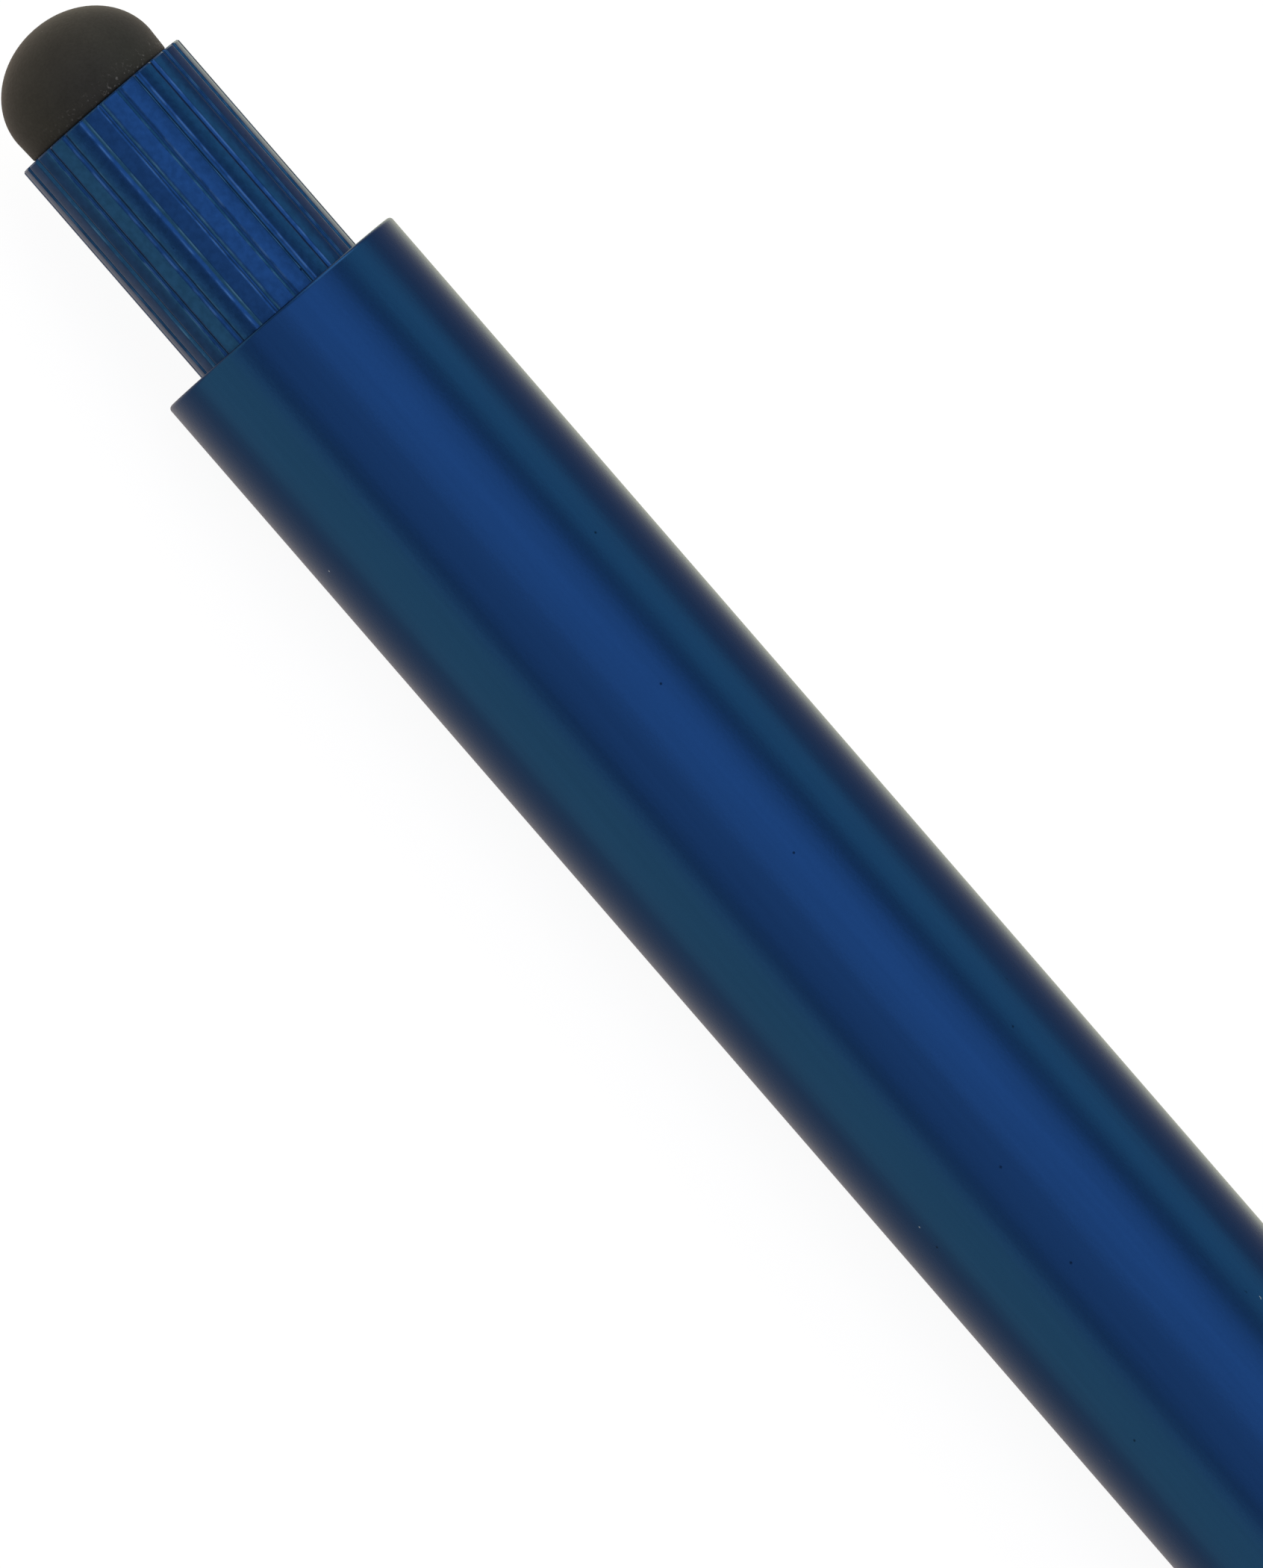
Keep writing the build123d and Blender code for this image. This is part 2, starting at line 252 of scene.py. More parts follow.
def apply_all(piece):
    bpy.context.view_layer.objects.active = piece
    for modifier in list(piece.modifiers):
        bpy.ops.object.modifier_apply(modifier=modifier.name)


def cut_with(piece, tool, operation="DIFFERENCE"):
    """Cuts a piece with a tool piece, or joins it on, and takes the tool away."""
    clear_selection()
    piece.select_set(True)
    cut = piece.modifiers.new("cut", "BOOLEAN")
    cut.operation = operation
    cut.solver = "EXACT"
    cut.object = tool
    apply_all(piece)
    bpy.data.objects.remove(tool)


def block(name, low, high):
    """A box between two corners, for a foot or a cutting tool."""
    clear_selection()
    bpy.ops.mesh.primitive_cube_add(size=1)
    piece = name_new(name)
    size = [(top - bottom) * MM for bottom, top in zip(low, high)]
    middle = [(top + bottom) / 2 * MM for bottom, top in zip(low, high)]
    bpy.ops.transform.resize(value=size, center_override=(0, 0, 0))
    bpy.ops.transform.translate(value=middle)
    return piece


def lay_in_place(piece, body, node, material, smooth_below=32):
    """Outward faces and smooth shading, then the piece is rolled and laid where its CAD node is."""
    clear_selection()
    piece.select_set(True)
    bpy.context.view_layer.objects.active = piece
    edit_all()
    bpy.ops.mesh.remove_doubles(threshold=WELD_DISTANCE * MM)
    bpy.ops.mesh.normals_make_consistent(inside=False)
    bpy.ops.object.mode_set(mode="OBJECT")
    piece.location = PEN_REAR
    piece.rotation_euler = (ROLL + pi, 0, 0)
    bpy.ops.object.transform_apply(location=True, rotation=True, scale=True)
    bpy.ops.object.shade_smooth_by_angle(angle=radians(smooth_below))
    dress(piece, material)
    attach(piece, body)
    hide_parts(node)


def dress(piece, material):
    piece.data.materials.clear()
    piece.data.materials.append(material)


# Finishes. Each pattern reads Object coordinates, in metres. A pattern's scale is in cells per
# metre, a depth is in millimetres, and colours are in linear light.

PEN_BLUE = (0.013, 0.052, 0.142)
WORN_BLUE = (0.042, 0.112, 0.24)
DUST_GREY = (0.42, 0.46, 0.44)
RUBBER_DARK = (0.0198, 0.0182, 0.0134)
RUBBER_LIGHT = (0.0262, 0.0242, 0.0178)
RUBBER_DUST = (0.1, 0.09, 0.075)
LINT_GREY = (0.17, 0.154, 0.127)
WHITE_PLASTIC = (0.66, 0.66, 0.62), (0.74, 0.74, 0.7)

# Wear on the flutes' shoulders starts and ends within these depths below the lands.
WEAR_START = 0.001, 0.004
WEAR_END = 0.028, 0.042

# Lint lies in a band along the dome's foot and fades between two heights over the pen's axis.
LINT_BAND = 0.8
LINT_HEIGHTS = -0.5, 2.5

# A speck is full out to a share of its size, and a cell has one or none.
SPECK_CORE = 0.6
SPECK_CHOICE = 0.001

# Socket numbers of a Mix node for colours
MIX_AMOUNT, MIX_FIRST, MIX_SECOND, MIX_RESULT = 0, 6, 7, 2


def new_finish(name):
    """A new material with its node tree, its shader and the Object coordinates in that tree."""
    material = bpy.data.materials.new(name)
    material.use_nodes = True
    tree = material.node_tree
    place = tree.nodes.new("ShaderNodeTexCoord").outputs["Object"]
    return material, tree, tree.nodes["Principled BSDF"], place


def noise(tree, place, scale, detail, stretch=(1, 1, 1)):
    mapping = tree.nodes.new("ShaderNodeMapping")
    mapping.inputs["Scale"].default_value = stretch
    tree.links.new(place, mapping.inputs["Vector"])
    texture = tree.nodes.new("ShaderNodeTexNoise")
    texture.inputs["Scale"].default_value = scale
    texture.inputs["Detail"].default_value = detail
    tree.links.new(mapping.outputs["Vector"], texture.inputs["Vector"])
    return texture.outputs["Fac"]


def between(tree, value, low=0, high=1, start=0.3, end=0.7):
    """A value from start to end, carried over to low to high. The defaults suit a noise pattern."""
    span = tree.nodes.new("ShaderNodeMapRange")
    span.inputs["From Min"].default_value = start
    span.inputs["From Max"].default_value = end
    span.inputs["To Min"].default_value = low
    span.inputs["To Max"].default_value = high
    tree.links.new(value, span.inputs["Value"])
    return span.outputs["Result"]


def reckon(tree, operation, first, second):
    result = tree.nodes.new("ShaderNodeMath")
    result.operation = operation
    tree.links.new(first, result.inputs[0])
    tree.links.new(second, result.inputs[1])
    return result.outputs[0]


def tint(tree, amount, first, second):
    """A blend of two colours, each a plain colour or the output of a node."""
    blend = tree.nodes.new("ShaderNodeMix")
    blend.data_type = "RGBA"
    for socket, colour in ((MIX_FIRST, first), (MIX_SECOND, second)):
        if isinstance(colour, tuple):
            blend.inputs[socket].default_value = (*colour, 1)
        else:
            tree.links.new(colour, blend.inputs[socket])
    tree.links.new(amount, blend.inputs[MIX_AMOUNT])
    return blend.outputs[MIX_RESULT]


def shade(colour, share):
    return tuple(share * part for part in colour)


def split_axes(tree, place):
    split = tree.nodes.new("ShaderNodeSeparateXYZ")
    tree.links.new(place, split.inputs[0])
    return split.outputs


def raised(tree, shader, height, depth):
    bump = tree.nodes.new("ShaderNodeBump")
    bump.inputs["Distance"].default_value = depth * MM
    tree.links.new(height, bump.inputs["Height"])
    tree.links.new(bump.outputs["Normal"], shader.inputs["Normal"])


def specks(tree, place, cell, size, share):
    """Sparse tiny spots: one where a cell's own point is near, in a small share of the cells."""
    cells = tree.nodes.new("ShaderNodeTexVoronoi")
    cells.inputs["Scale"].default_value = 1 / (cell * MM)
    tree.links.new(place, cells.inputs["Vector"])
    near = between(tree, cells.outputs["Distance"], low=1, high=0, start=SPECK_CORE * size, end=size)
    lots = tree.nodes.new("ShaderNodeSeparateColor")
    tree.links.new(cells.outputs["Color"], lots.inputs[0])
    chosen = between(tree, lots.outputs["Red"], start=1 - share, end=1 - share + SPECK_CHOICE)
    return reckon(tree, "MULTIPLY", near, chosen)


def dusty_metal(tree, shader, place, body):
    """Gives a metal its body colour and a few specks of dust, which aren't metallic."""
    dust = specks(tree, place, cell=0.9, size=0.05, share=0.06)
    tree.links.new(tint(tree, dust, body, DUST_GREY), shader.inputs["Base Color"])
    metallic = between(tree, dust, low=1, high=0, start=0, end=1)
    tree.links.new(metallic, shader.inputs["Metallic"])


def worn_shoulders(tree, place):
    """The shoulders of the button's flutes, rubbed pale in broken lines."""
    across = tree.nodes.new("ShaderNodeVectorMath")
    across.operation = "MULTIPLY"
    across.inputs[1].default_value = (0, 1, 1)
    tree.links.new(place, across.inputs[0])
    from_axis = tree.nodes.new("ShaderNodeVectorMath")
    from_axis.operation = "DISTANCE"
    from_axis.inputs[1].default_value = AXIS
    tree.links.new(across.outputs["Vector"], from_axis.inputs[0])
    off_axis = from_axis.outputs["Value"]
    land, under_land = ((BUTTON_RADIUS - depth) * MM for depth in WEAR_START)
    over_floor, floor = ((BUTTON_RADIUS - depth) * MM for depth in WEAR_END)
    below_land = between(tree, off_axis, low=1, high=0, start=under_land, end=land)
    above_floor = between(tree, off_axis, start=floor, end=over_floor)
    broken = noise(tree, place, scale=1, detail=3, stretch=(1300, 2400, 2400))
    rubbed = between(tree, broken, start=0.42, end=0.62)
    return reckon(tree, "MULTIPLY", reckon(tree, "MULTIPLY", below_land, above_floor), rubbed)


def anodised(name, satin, fluted=False):
    """Dyed satin aluminium with a fine grain, pits and dust.

    A plain piece has faint drawing lines along the pen. A fluted one is mottled and worn."""
    material, tree, shader, place = new_finish(name)
    grain = noise(tree, place, scale=8000, detail=2)
    cloud = noise(tree, place, scale=260, detail=3)
    if fluted:
        mottle = between(tree, noise(tree, place, scale=4200, detail=3), start=0.35, end=0.65)
        body = tint(tree, mottle, shade(PEN_BLUE, 0.92), shade(PEN_BLUE, 1.13))
        body = tint(tree, worn_shoulders(tree, place), body, WORN_BLUE)
    else:
        lines = between(tree, noise(tree, place, scale=1, detail=3, stretch=(150, 5200, 5200)))
        body = tint(tree, lines, shade(PEN_BLUE, 0.97), shade(PEN_BLUE, 1.03))
    pits = specks(tree, place, cell=0.7, size=0.09, share=0.07)
    dusty_metal(tree, shader, place, tint(tree, pits, body, shade(PEN_BLUE, 0.35)))
    fine = between(tree, grain, low=satin - 0.02, high=satin + 0.02)
    broad = between(tree, cloud, low=-0.012, high=0.012)
    tree.links.new(reckon(tree, "ADD", fine, broad), shader.inputs["Roughness"])
    raised(tree, shader, grain, depth=0.003)
    return material


def rubber(name):
    """Matt conductive rubber with a fine moulded grain, and lint that settles on top along the foot."""
    material, tree, shader, place = new_finish(name)
    grain = noise(tree, place, scale=9000, detail=4)
    cloud = noise(tree, place, scale=900, detail=3)
    body = tint(tree, between(tree, cloud), RUBBER_DARK, RUBBER_LIGHT)
    dust = specks(tree, place, cell=0.3, size=0.14, share=0.03)
    body = tint(tree, dust, body, RUBBER_DUST)
    axes = split_axes(tree, place)
    foot = REAR_FACE + DOME_FOOT * MM
    near_foot = between(tree, axes["X"], start=foot - LINT_BAND * MM, end=foot)
    lowest, highest = (AXIS.z + height * MM for height in LINT_HEIGHTS)
    on_top = between(tree, axes["Z"], low=0.1, start=lowest, end=highest)
    lint = between(tree, noise(tree, place, scale=8000, detail=2), start=0.59, end=0.74)
    lint = reckon(tree, "MULTIPLY", lint, reckon(tree, "MULTIPLY", near_foot, on_top))
    tree.links.new(tint(tree, lint, body, LINT_GREY), shader.inputs["Base Color"])
    tree.links.new(between(tree, grain, low=0.62, high=0.78), shader.inputs["Roughness"])
    shader.inputs["Specular IOR Level"].default_value = 0.3
    shader.inputs["Specular Tint"].default_value = (1.0, 0.95, 0.82, 1)
    shader.inputs["Sheen Weight"].default_value = 0.2
    shader.inputs["Sheen Roughness"].default_value = 0.45
    shader.inputs["Sheen Tint"].default_value = (1.0, 0.8, 0.6, 1)
    raised(tree, shader, grain, depth=0.004)
    return material


def coated(name):
    """Coated spring steel: the barrel's blue under a thin smooth lacquer."""
    material, tree, shader, place = new_finish(name)
    cloud = noise(tree, place, scale=400, detail=3)
    grain = noise(tree, place, scale=7000, detail=3)
    body = tint(tree, between(tree, cloud), shade(PEN_BLUE, 0.93), shade(PEN_BLUE, 1.07))
    dusty_metal(tree, shader, place, body)
    tree.links.new(between(tree, grain, low=0.24, high=0.3), shader.inputs["Roughness"])
    shader.inputs["Coat Weight"].default_value = 0.15
    shader.inputs["Coat Roughness"].default_value = 0.2
    raised(tree, shader, grain, depth=0.0006)
    return material


def turned_metal(name, dark, light, rough):
    """Bare metal with fine rings from the lathe across the pen's axis."""
    material, tree, shader, place = new_finish(name)
    rings = noise(tree, place, scale=1, detail=3, stretch=(14000, 300, 300))
    shader.inputs["Metallic"].default_value = 1.0
    tree.links.new(tint(tree, between(tree, rings), dark, light), shader.inputs["Base Color"])
    roughness = between(tree, rings, low=rough - 0.05, high=rough + 0.06)
    tree.links.new(roughness, shader.inputs["Roughness"])
    raised(tree, shader, rings, depth=0.001)
    return material


def moulded(name, dark, light, rough):
    """Moulded plastic, ink or grease with a soft mottle and a fine grain."""
    material, tree, shader, place = new_finish(name)
    cloud = noise(tree, place, scale=350, detail=3)
    grain = noise(tree, place, scale=9000, detail=3)
    tree.links.new(tint(tree, between(tree, cloud), dark, light), shader.inputs["Base Color"])
    roughness = between(tree, grain, low=rough - 0.05, high=rough + 0.05)
    tree.links.new(roughness, shader.inputs["Roughness"])
    raised(tree, shader, grain, depth=0.002)
    return material


blue_barrel = anodised("blue_anodised_barrel", satin=0.278)
blue_button = anodised("blue_anodised_button", satin=0.24, fluted=True)
blue_nose = anodised("blue_anodised_nose", satin=0.278)
blue_clip = coated("blue_coated_clip")
dome_rubber = rubber("grey_stylus_rubber")
spring_steel = turned_metal("spring_wire", (0.36, 0.36, 0.36), (0.46, 0.46, 0.46), rough=0.28)

# Finishes of the inner pieces, which are shown as the frame has them: darkest and lightest colour
cad_finishes = {
    "stylus_plug": moulded("black_plug", (0.012, 0.012, 0.012), (0.02, 0.02, 0.02), rough=0.5),
    "thrust_cam": moulded("white_cam", *WHITE_PLASTIC, rough=0.42),
    "rotor_cam": moulded("black_rotor", (0.03, 0.03, 0.03), (0.045, 0.045, 0.045), rough=0.42),
    "cam_sleeve": moulded("white_sleeve", *WHITE_PLASTIC, rough=0.45),
    "front_bush": turned_metal("brass_bush", (0.5, 0.33, 0.1), (0.6, 0.42, 0.15), rough=0.3),
    "refill_tip": turned_metal("brass_tip", (0.5, 0.33, 0.1), (0.62, 0.44, 0.16), rough=0.24),
    "writing_ball": turned_metal("carbide_ball", (0.22, 0.22, 0.23), (0.28, 0.28, 0.29), rough=0.16),
    "refill_tube": moulded("refill_tube_plastic", (0.6, 0.63, 0.66), (0.68, 0.71, 0.74), rough=0.3),
    "ink_column": moulded("blue_ink", (0.01, 0.014, 0.09), (0.016, 0.02, 0.12), rough=0.2),
    "ink_follower": moulded("clear_grease", (0.55, 0.5, 0.33), (0.62, 0.57, 0.4), rough=0.25),
}
for node, material in cad_finishes.items():
    dress(frame["nodes"][node], material)


# Barrel: an open tube with an end wall round the push button, and a slot for the clip's foot.


def make_barrel():
    start = (END_WALL, BUTTON_HOLE)
    piece = start_ring("barrel_shell", *start)
    draw_on(
        start,
        (0, BUTTON_HOLE),
        (0, BARREL_RADIUS),
        (BARREL_CORNER * SUPPORT_ROUNDINGS, BARREL_RADIUS),
        (SLOT_REAR - SUPPORT_GAP, BARREL_RADIUS),
        (SLOT_FRONT + SUPPORT_GAP, BARREL_RADIUS),
        (BARREL_LENGTH - JOINT_ROUNDING * SUPPORT_ROUNDINGS, BARREL_RADIUS),
        (BARREL_LENGTH, BARREL_RADIUS),
        (BARREL_LENGTH, BARREL_BORE),
        (END_WALL, BARREL_BORE),
    )
    join_rings(piece, start, (END_WALL, BARREL_BORE))
    round_ring(piece, 0, BARREL_RADIUS, BARREL_CORNER, segments=6)
    round_ring(piece, BARREL_LENGTH, BARREL_RADIUS, JOINT_ROUNDING, segments=6)
    round_ring(piece, 0, BUTTON_HOLE, HOLE_CHAMFER, segments=2)
    half = SLOT_WIDTH / 2
    slot = block("slot_tool", (SLOT_REAR, -half, BUTTON_HOLE), (SLOT_FRONT, half, 2 * BARREL_RADIUS))
    cut_with(piece, slot)
    lay_in_place(piece, "barrel_body", "barrel", blue_barrel)


# Push button: a fluted cup that carries the dome, with a flange inside the barrel.


def pull_flutes(piece, undo=False):
    """Pulls the last ring in along each flute, deepest at its middle, or lets it out again."""
    sides = FLUTES * FLUTE_POINTS
    spacing = 2 * pi * BUTTON_RADIUS / sides
    mesh = bmesh.from_edit_mesh(piece.data)
    ring = [corner for corner in mesh.verts if corner.select]
    for step in range(int(FLUTE_WIDTH / 2 / spacing) + 1):
        for corner in ring:
            point = round(atan2(corner.co.y, corner.co.z) / (2 * pi) * sides) + FLUTE_POINTS // 2
            corner.select_set(point % FLUTE_POINTS in (step, -step % FLUTE_POINTS))
        mesh.select_flush(False)
        bmesh.update_edit_mesh(piece.data)
        share = cos(pi * step * spacing / FLUTE_WIDTH) ** 2
        grow = 1 - share * FLUTE_DEPTH / BUTTON_RADIUS
        grow = 1 / grow if undo else grow
        bpy.ops.transform.resize(value=(1, grow, grow), center_override=(0, 0, 0))
    for corner in ring:
        corner.select_set(True)
    mesh.select_flush(True)
    bmesh.update_edit_mesh(piece.data)


def make_button():
    start = (SOCKET_FLOOR, SOCKET_RADIUS)
    piece = start_ring("push_button_cup", *start, FLUTES * FLUTE_POINTS, "TRIFAN")
    pick_ring(piece, start)
    bpy.ops.mesh.select_mode(type="VERT")
    at = draw_on(start, (BUTTON_RIM, SOCKET_RADIUS), (BUTTON_RIM, BUTTON_RADIUS - RIM_CHAMFER))
    pull_flutes(piece)
    at = draw_on(
        at,
        (BUTTON_RIM + RIM_CHAMFER, BUTTON_RADIUS),
        (BUTTON_RIM + 3 * RIM_CHAMFER, BUTTON_RADIUS),
        (FLANGE_REAR, BUTTON_RADIUS),
        (FLANGE_REAR, FLANGE_RADIUS),
    )
    pull_flutes(piece, undo=True)
    draw_on(
        at,
        (FLANGE_FRONT, FLANGE_RADIUS),
        (FLANGE_FRONT, STEM_BORE),
        (STEM_FLOOR, STEM_BORE),
        (STEM_FLOOR, 0),
    )
    lay_in_place(piece, "push_button", "plunger", blue_button, smooth_below=24)


# Stylus dome: a hollow rubber cap with a neck and an inner bead, held in the button's cup.


def make_dome():
    steps = [radians(angle) for angle in DOME_ANGLES]
    outer = [(DOME_WIDEST - DOME_HEIGHT * cos(a), DOME_RADIUS * sin(a)) for a in steps]
    inner_radius, inner_height = DOME_RADIUS - DOME_WALL, DOME_HEIGHT - DOME_WALL
    inner = [(DOME_WIDEST - inner_height * cos(a), inner_radius * sin(a)) for a in reversed(steps)]
    neck_bore = DOME_NECK - DOME_WALL
    piece = start_ring("stylus_dome", *outer[0], fill="TRIFAN")
    pick(piece, "VERT", lambda corner: corner.co.yz.length < RING_TOLERANCE * MM)
    bpy.ops.transform.translate(value=((DOME_WIDEST - DOME_HEIGHT - outer[0][0]) * MM, 0, 0))
    pick_ring(piece, outer[0])
    draw_on(
        *outer,
        (DOME_FOOT - DOME_FOOT_LAND, DOME_SKIRT + DOME_SKIRT_DRAFT),
        (DOME_FOOT, DOME_SKIRT),
        (DOME_FOOT, DOME_NECK),
        (BEAD_FRONT, DOME_NECK),
        (BEAD_FRONT, BEAD_RADIUS),
        (BEAD_REAR, BEAD_RADIUS),
        (BEAD_REAR, neck_bore),
        (DOME_FOOT, neck_bore),
        *inner,
        (DOME_WIDEST - inner_height, 0),
    )
    round_ring(piece, DOME_FOOT, DOME_SKIRT, DOME_FOOT_ROUNDING, segments=4)
    lay_in_place(piece, "push_button", "stylus_tip", dome_rubber, smooth_below=40)


# Nose cone: a short straight land, then one long curve down to the tip, bored for the refill.


def make_nose():
    drop = BARREL_RADIUS - NOSE_TIP_RADIUS
    run = NOSE_TIP - NOSE_LAND_FRONT
    sweep = (run ** 2 + drop ** 2) / (2 * drop)
    last = atan2(run, sweep - drop)
    angles = [last * step / NOSE_STEPS for step in range(1, NOSE_STEPS + 1)]
    start = (BARREL_LENGTH, SPIGOT_RADIUS)
    piece = start_ring("nose_shell", *start)
    draw_on(
        start,
        (BARREL_LENGTH, BARREL_RADIUS),
        (BARREL_LENGTH + JOINT_ROUNDING * SUPPORT_ROUNDINGS, BARREL_RADIUS),
        (NOSE_LAND_FRONT - SUPPORT_GAP, BARREL_RADIUS),
        (NOSE_LAND_FRONT, BARREL_RADIUS),
        *((NOSE_LAND_FRONT + sweep * sin(a), BARREL_RADIUS - sweep * (1 - cos(a))) for a in angles),
        (NOSE_TIP, NOSE_GUIDE),
        (NOSE_SHOULDER, NOSE_GUIDE),
        (NOSE_SHOULDER, NOSE_BORE),
        (SPIGOT_REAR, NOSE_BORE),
        (SPIGOT_REAR, SPIGOT_RADIUS),
    )
    join_rings(piece, start, (SPIGOT_REAR, SPIGOT_RADIUS))
    round_ring(piece, BARREL_LENGTH, BARREL_RADIUS, JOINT_ROUNDING, segments=6)
    round_ring(piece, NOSE_TIP, NOSE_TIP_RADIUS, NOSE_TIP_ROUNDING, segments=5)
    lay_in_place(piece, "barrel_body", "nose_cone", blue_nose)


# Return spring: a wound wire between the refill's collar and the nose. In the pen it shortens as
# the button goes in; here it is made at one length.


def make_spring():
    wire = SPRING_WIRE / 2
    clear_selection()
    bpy.ops.mesh.primitive_circle_add(vertices=SPRING_SIDES, radius=wire * MM, fill_type="NOTHING")
    piece = name_new("return_spring_coil")
    rear = NOSE_SHOULDER - SPRING_LENGTH + SPRING_SEAT_GAP + wire
    bpy.ops.transform.rotate(value=pi / 2, orient_axis="X", center_override=(0, 0, 0))
    bpy.ops.transform.translate(value=(rear * MM, 0, SPRING_RADIUS * MM))
    bpy.ops.object.mode_set(mode="OBJECT")
    winding = piece.modifiers.new("winding", "SCREW")
    winding.axis = "X"
    winding.angle = 2 * pi
    winding.iterations = SPRING_TURNS
    winding.screw_offset = (SPRING_LENGTH - 2 * SPRING_SEAT_GAP - SPRING_WIRE) / SPRING_TURNS * MM
    winding.steps = winding.render_steps = SPRING_STEPS
    apply_all(piece)
    edit_all()
    bpy.ops.mesh.fill_holes(sides=0)
    lay_in_place(piece, "barrel_body", "return_spring", spring_steel)
    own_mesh(piece)


# Clip: one strip of spring steel, bent over at its foot, with a ramp down to the barrel and a
# lifted round tip.


def bend(turn, middle, steps):
    """Turns the strip's end towards the nose and down about a middle, or up by a negative turn."""
    station, height = middle
    centre = (station * MM, 0, height * MM)
    bpy.ops.mesh.spin(steps=steps, angle=turn, center=centre, axis=(0, -1, 0))


def bend_strip():
    """The strip in one width, from the barrel's wall over the bend to the tip."""
    clear_selection()
    bpy.ops.mesh.primitive_plane_add(size=1)
    piece = name_new("clip_strip")
    section = (CLIP_THICKNESS * MM, CLIP_WIDTH * MM, 1)
    bpy.ops.transform.resize(value=section, center_override=(0, 0, 0))
    bpy.ops.transform.translate(value=(CLIP_FOOT_STATION * MM, 0, BARREL_BORE * MM))

    ramp_run = CLIP_TOUCH_STATION - CLIP_RAMP_STATION
    ramp_drop = CLIP_ARM_HEIGHT - CLIP_TOUCH_HEIGHT
    ramp = atan2(ramp_drop, ramp_run)
    lift = atan2(CLIP_TIP_HEIGHT - CLIP_TOUCH_HEIGHT, CLIP_TIP_STATION - CLIP_TOUCH_STATION)
    ramp_half = CLIP_RAMP_BEND * tan(ramp / 2)
    touch_half = CLIP_TOUCH_BEND * tan((ramp + lift) / 2)

    run_on(0, CLIP_ARM_HEIGHT - CLIP_BEND - BARREL_BORE)
    arm_rear = CLIP_FOOT_STATION + CLIP_BEND
    bend(pi / 2, (arm_rear, CLIP_ARM_HEIGHT - CLIP_BEND), steps=10)
    arm_front = CLIP_RAMP_STATION - ramp_half
    run_on(arm_front - arm_rear)
    bend(ramp, (arm_front, CLIP_ARM_HEIGHT - CLIP_RAMP_BEND), steps=6)
    slope = sqrt(ramp_run ** 2 + ramp_drop ** 2) - ramp_half - touch_half
    run_on(slope * cos(ramp), -slope * sin(ramp))
    touch_middle = (
        CLIP_TOUCH_STATION - touch_half * cos(ramp) + CLIP_TOUCH_BEND * sin(ramp),
        CLIP_TOUCH_HEIGHT + touch_half * sin(ramp) + CLIP_TOUCH_BEND * cos(ramp),
    )
    bend(-ramp - lift, touch_middle, steps=8)
    at = CLIP_TOUCH_STATION + touch_half * cos(lift)
    for angle in CLIP_TIP_ANGLES:
        ahead = CLIP_TIP_MIDDLE + CLIP_TIP_RADIUS * sin(radians(angle))
        if ahead > at:
            run_on(ahead - at, (ahead - at) * tan(lift))
            at = ahead
    return piece


def clip_width(station):
    """The strip's finished width: a straight taper to a round tip."""
    if station > CLIP_TIP_MIDDLE:
        return 2 * sqrt(max(CLIP_TIP_RADIUS ** 2 - (station - CLIP_TIP_MIDDLE) ** 2, 0))
    rear = CLIP_FOOT_STATION - CLIP_THICKNESS
    share = max(station - rear, 0) / (CLIP_TIP_MIDDLE - rear)
    return CLIP_WIDTH + (2 * CLIP_TIP_RADIUS - CLIP_WIDTH) * share


def narrow_strip(piece):
    """Brings each cross-section of the strip to its finished width, then rounds the long edges."""
    corners = bmesh.from_edit_mesh(piece.data).verts
    for station in sorted({round(corner.co.x / MM, 3) for corner in corners}):
        pick(piece, "VERT", lambda corner: abs(corner.co.x / MM - station) < CLIP_SECTION_TOLERANCE)
        narrow = clip_width(station) / CLIP_WIDTH
        bpy.ops.transform.resize(value=(1, narrow, 1), center_override=(0, 0, 0))
    bpy.ops.mesh.select_all(action="SELECT")
    bpy.ops.mesh.normals_make_consistent(inside=False)
    bpy.ops.mesh.select_all(action="DESELECT")
    bpy.ops.mesh.select_mode(type="EDGE")
    bpy.ops.mesh.edges_select_sharp(sharpness=radians(CLIP_SHARP_ANGLE))
    ease(CLIP_EDGE, segments=3)


def round_bar():
    """A bar a little thicker than the barrel, which makes room for it in the strip's rear end."""
    bar = start_ring("saddle_tool", 0, CLIP_SADDLE, fill="NGON")
    run_on(CLIP_SADDLE_LENGTH)
    bpy.ops.mesh.select_all(action="SELECT")
    bpy.ops.mesh.normals_make_consistent(inside=False)
    return bar


def clip_foot():
    """The narrow foot that goes down through the barrel's slot, with a lip under the wall."""
    half, wide = CLIP_THICKNESS / 2, CLIP_FOOT_WIDTH / 2
    middle = CLIP_FOOT_STATION
    rear = middle - half
    low = CLIP_LIP_TOP - CLIP_THICKNESS
    foot = block("foot_tool", (rear, -wide, low), (middle + half, wide, CLIP_FOOT_TOP))
    lip = block("lip_tool", (rear - CLIP_LIP_LENGTH, -wide, low), (middle, wide, CLIP_LIP_TOP))
    cut_with(foot, lip, "UNION")
    return foot


def make_clip():
    piece = bend_strip()
    narrow_strip(piece)
    cut_with(piece, round_bar())
    cut_with(piece, clip_foot(), "UNION")
    lay_in_place(piece, "clip_arm", "clip", blue_clip)


make_barrel()
make_button()
make_dome()
make_nose()
make_spring()
make_clip()

# Camera: it looks down on the side away from the clip, and the pen slants across a tall picture.
# The picture's middle is at a station on the pen, and a little off its axis.
VIEW_HEIGHT = radians(44.534)
PEN_SLANT = radians(49.08)
PICTURE_LENGTH = 56.11
PICTURE_STATION = 21.016
PICTURE_OFF_AXIS = -1.539
LENS = 1000
SENSOR = 36
SEEN_FROM = 0.01
SEEN_TO = 100

toward = Vector((0, -cos(VIEW_HEIGHT), sin(VIEW_HEIGHT)))
above = Vector((0, sin(VIEW_HEIGHT), cos(VIEW_HEIGHT)))
along = Vector((1, 0, 0))
target = PEN_REAR + PICTURE_STATION * MM * along + PICTURE_OFF_AXIS * MM * above


